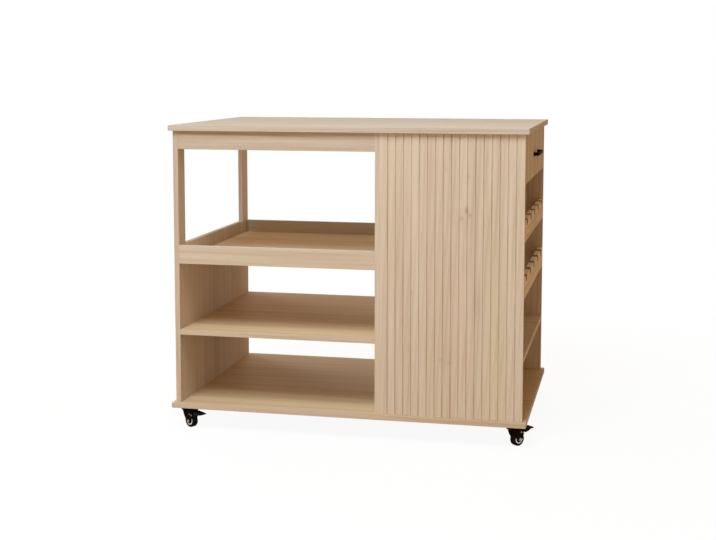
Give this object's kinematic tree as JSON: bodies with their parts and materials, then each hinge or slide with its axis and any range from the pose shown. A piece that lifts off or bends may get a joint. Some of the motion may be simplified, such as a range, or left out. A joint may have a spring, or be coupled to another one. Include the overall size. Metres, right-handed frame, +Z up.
{
  "type": "kitchen cart",
  "caption": "Wooden kitchen cart on swivel casters, with an open tray bay and shelves beside a fluted cabinet whose end holds a drawer, notched bottle racks and a shelf.",
  "frame": {"origin": "on the floor under the middle of the worktop", "axes": "+X towards the end with the drawer, +Y towards the back, +Z up"},
  "size_m": [1.0664, 0.7014, 0.904],
  "materials": {
    "oak": "matt light oak",
    "dowel_wood": "raw beech",
    "drawer_board": "matt light oak",
    "steel": "zinc plated",
    "slide_steel": "zinc plated",
    "black_metal": "satin black",
    "black_plastic": "black",
    "hub_plastic": "light grey",
    "tyre_rubber": "matt black"
  },
  "bodies": {
    "cart": {"top_board": "oak", "base_board": "oak", "left_side_panel": "oak", "divider_panel": "oak", "fluted_front_panel": "oak", "back_panel": "oak", "top_front_rail": "oak", "top_back_rail": "oak", "tray_front_rail": "oak", "tray_back_rail": "oak", "tray_floor": "oak", "mid_shelf": "oak", "low_shelf": "oak", "upper_neck_rail": "oak", "lower_neck_rail": "oak", "upper_body_rail": "oak", "lower_body_rail": "oak", "dowels": "dowel_wood", "cam_bolts": "steel", "cam_discs": "steel", "base_screws": "steel", "caster_screws": "steel", "caster_kingpins": "steel", "near_slide_cabinet": "slide_steel", "far_slide_cabinet": "slide_steel", "front_left_plate": "black_metal", "front_right_plate": "black_metal", "back_left_plate": "black_metal", "back_right_plate": "black_metal"},
    "drawer": {"drawer_front": "oak", "drawer_near_side": "drawer_board", "drawer_far_side": "drawer_board", "drawer_back": "drawer_board", "drawer_bottom": "drawer_board", "drawer_pull": "black_metal", "drawer_pull_screws": "steel", "near_slide_drawer": "slide_steel", "far_slide_drawer": "slide_steel"},
    "near_middle_member": {"near_slide_middle": "slide_steel"},
    "far_middle_member": {"far_slide_middle": "slide_steel"},
    "front_left_swivel_fork": {"front_left_fork": "black_metal", "front_left_axle": "steel"},
    "front_left_wheel": {"front_left_hub": "hub_plastic", "front_left_tyre": "tyre_rubber"},
    "front_left_brake": {"front_left_brake_pedal": "black_plastic"},
    "front_right_swivel_fork": {"front_right_fork": "black_metal", "front_right_axle": "steel"},
    "front_right_wheel": {"front_right_hub": "hub_plastic", "front_right_tyre": "tyre_rubber"},
    "front_right_brake": {"front_right_brake_pedal": "black_plastic"},
    "back_left_swivel_fork": {"back_left_fork": "black_metal", "back_left_axle": "steel"},
    "back_left_wheel": {"back_left_hub": "hub_plastic", "back_left_tyre": "tyre_rubber"},
    "back_right_swivel_fork": {"back_right_fork": "black_metal", "back_right_axle": "steel"},
    "back_right_wheel": {"back_right_hub": "hub_plastic", "back_right_tyre": "tyre_rubber"}
  },
  "joints": [
    {"name": "drawer_slide", "type": "slide", "parent": "cart", "child": "drawer", "axis": [1, 0, 0], "range_m": [0, 0.3]},
    {"name": "near_middle_slide", "type": "slide", "parent": "cart", "child": "near_middle_member", "axis": [1, 0, 0], "range_m": [0, 0.15]},
    {"name": "far_middle_slide", "type": "slide", "parent": "cart", "child": "far_middle_member", "axis": [1, 0, 0], "range_m": [0, 0.15]},
    {"name": "front_left_swivel", "type": "hinge", "parent": "cart", "child": "front_left_swivel_fork", "pos_m": [-0.487, -0.3095, 0.056], "axis": [0, 0, 1], "continuous": true},
    {"name": "front_left_roll", "type": "hinge", "parent": "front_left_swivel_fork", "child": "front_left_wheel", "pos_m": [-0.47401, -0.317, 0.02], "axis": [0.5, 0.866, 0], "continuous": true},
    {"name": "front_left_brake_hinge", "type": "hinge", "parent": "front_left_swivel_fork", "child": "front_left_brake", "pos_m": [-0.47834, -0.3145, 0.046], "axis": [0.5, 0.866, 0], "range_deg": [0, 12]},
    {"name": "front_right_swivel", "type": "hinge", "parent": "cart", "child": "front_right_swivel_fork", "pos_m": [0.487, -0.3095, 0.056], "axis": [0, 0, 1], "continuous": true},
    {"name": "front_right_roll", "type": "hinge", "parent": "front_right_swivel_fork", "child": "front_right_wheel", "pos_m": [0.49704, -0.29835, 0.02], "axis": [-0.7431, 0.6691, 0], "continuous": true},
    {"name": "front_right_brake_hinge", "type": "hinge", "parent": "front_right_swivel_fork", "child": "front_right_brake", "pos_m": [0.49369, -0.30207, 0.046], "axis": [-0.7431, 0.6691, 0], "range_deg": [0, 12]},
    {"name": "back_left_swivel", "type": "hinge", "parent": "cart", "child": "back_left_swivel_fork", "pos_m": [-0.487, 0.3095, 0.056], "axis": [0, 0, 1], "continuous": true},
    {"name": "back_left_roll", "type": "hinge", "parent": "back_left_swivel_fork", "child": "back_left_wheel", "pos_m": [-0.47291, 0.30437, 0.02], "axis": [0.342, 0.9397, 0], "continuous": true},
    {"name": "back_right_swivel", "type": "hinge", "parent": "cart", "child": "back_right_swivel_fork", "pos_m": [0.487, 0.3095, 0.056], "axis": [0, 0, 1], "continuous": true},
    {"name": "back_right_roll", "type": "hinge", "parent": "back_right_swivel_fork", "child": "back_right_wheel", "pos_m": [0.47291, 0.31463, 0.02], "axis": [-0.342, -0.9397, 0], "continuous": true}
  ],
  "couplings": [
    {"joint": "near_middle_slide", "follows": "drawer_slide", "ratio": 0.5},
    {"joint": "far_middle_slide", "follows": "drawer_slide", "ratio": 0.5}
  ]
}
